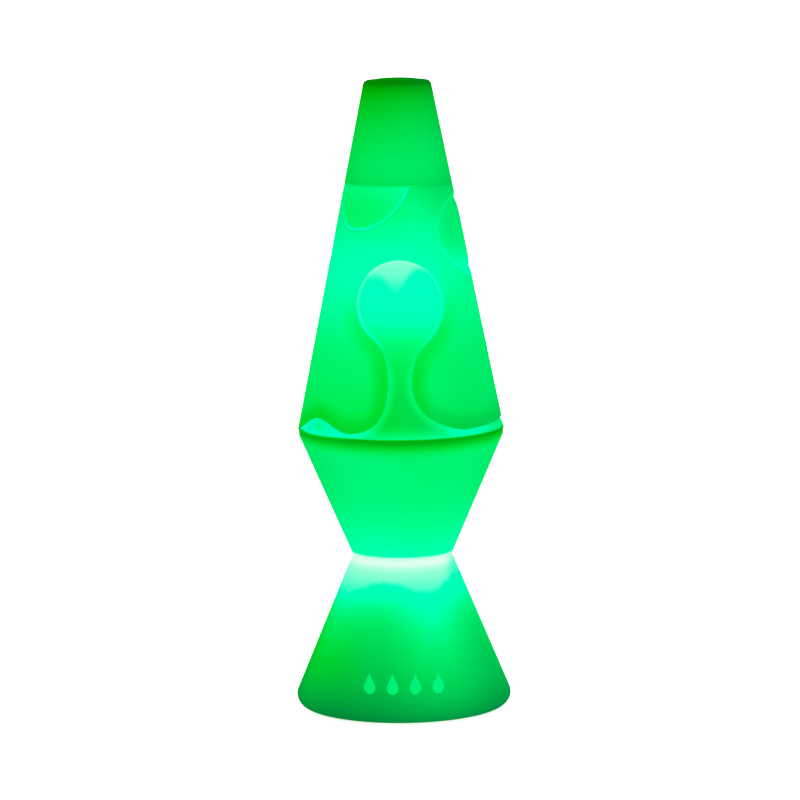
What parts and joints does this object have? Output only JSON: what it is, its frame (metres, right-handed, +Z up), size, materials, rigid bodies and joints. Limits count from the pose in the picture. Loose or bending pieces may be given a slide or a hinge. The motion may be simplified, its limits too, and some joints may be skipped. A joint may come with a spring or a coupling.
{
  "type": "lava lamp",
  "caption": "Lava lamp shaped mood light: a globe cone with raised lava blobs, a closed cap and an hourglass base, lit from inside by LEDs.",
  "frame": {"origin": "centre of the plane that the rubber feet stand on, on the lamp's axis", "axes": "+Z up along the lamp's axis, -Y towards the front with the tall lava column, +Y towards the colour button, +X to the right seen from the front"},
  "size_m": [0.0954, 0.0954, 0.28],
  "materials": {
    "base_glow": "satin translucent shell, lit from inside",
    "cup_glow": "satin translucent shell, lit from inside",
    "globe_glow": "satin translucent shell, lit from inside",
    "cap_glow": "satin translucent shell, lit from inside",
    "housing_white": "fine moulded texture",
    "inner_white": "plain moulded",
    "diffuser": "frosted",
    "foot_rubber": "matt",
    "screw_steel": "zinc plated",
    "cell_wrap": "printed sleeve without lettering",
    "nickel": "nickel plated",
    "board_green": "solder mask",
    "board_white": "white solder mask",
    "black_plastic": "moulded",
    "led_lens": "clear lens over phosphor",
    "button_grey": "soft satin",
    "lead_jacket": "PVC jacket",
    "harness_jacket": "PVC jacket",
    "capacitor_sleeve": "printed sleeve without lettering"
  },
  "bodies": {
    "lamp": {"base_shell": "base_glow", "cup_shell": "cup_glow", "globe_shell": "globe_glow", "cap_shell": "cap_glow", "neck_lock_ring": "inner_white", "bottom_housing": "housing_white", "housing_screws": "screw_steel", "rubber_feet": "foot_rubber", "battery_cell_1": "cell_wrap", "battery_cell_2": "cell_wrap", "battery_cell_3": "cell_wrap", "contact_springs": "nickel", "contact_plates": "nickel", "slide_switch": "nickel", "tact_switch": "nickel", "button_board": "board_green", "button_board_screws": "screw_steel", "control_board": "board_green", "control_board_screws": "screw_steel", "controller_chip": "black_plastic", "board_capacitor": "capacitor_sleeve", "harness_plug": "inner_white", "light_mast": "inner_white", "mast_screws": "screw_steel", "led_drum": "inner_white", "led_strip": "board_white", "lower_leds": "led_lens", "upper_led_board": "board_white", "upper_leds": "led_lens", "diffuser_dome": "diffuser", "led_harness": "harness_jacket", "switch_lead": "lead_jacket", "button_lead": "lead_jacket", "contact_tails": "nickel"},
    "button": {"colour_button": "button_grey", "tact_plunger": "black_plastic"},
    "switch_slider": {"power_slider": "black_plastic", "switch_lever": "black_plastic"},
    "door": {"battery_door": "housing_white"}
  },
  "joints": [
    {"name": "button_press", "type": "slide", "parent": "lamp", "child": "button", "axis": [0, -0.9236, -0.3835], "range_m": [0, 0.0007], "stiffness_N_per_m": 400},
    {"name": "power_switch", "type": "slide", "parent": "lamp", "child": "switch_slider", "axis": [1, 0, 0], "range_m": [0, 0.003]},
    {"name": "battery_door_hinge", "type": "hinge", "parent": "lamp", "child": "door", "pos_m": [0, -0.01785, 0.00165], "axis": [-1, 0, 0], "range_deg": [0, 95]}
  ]
}
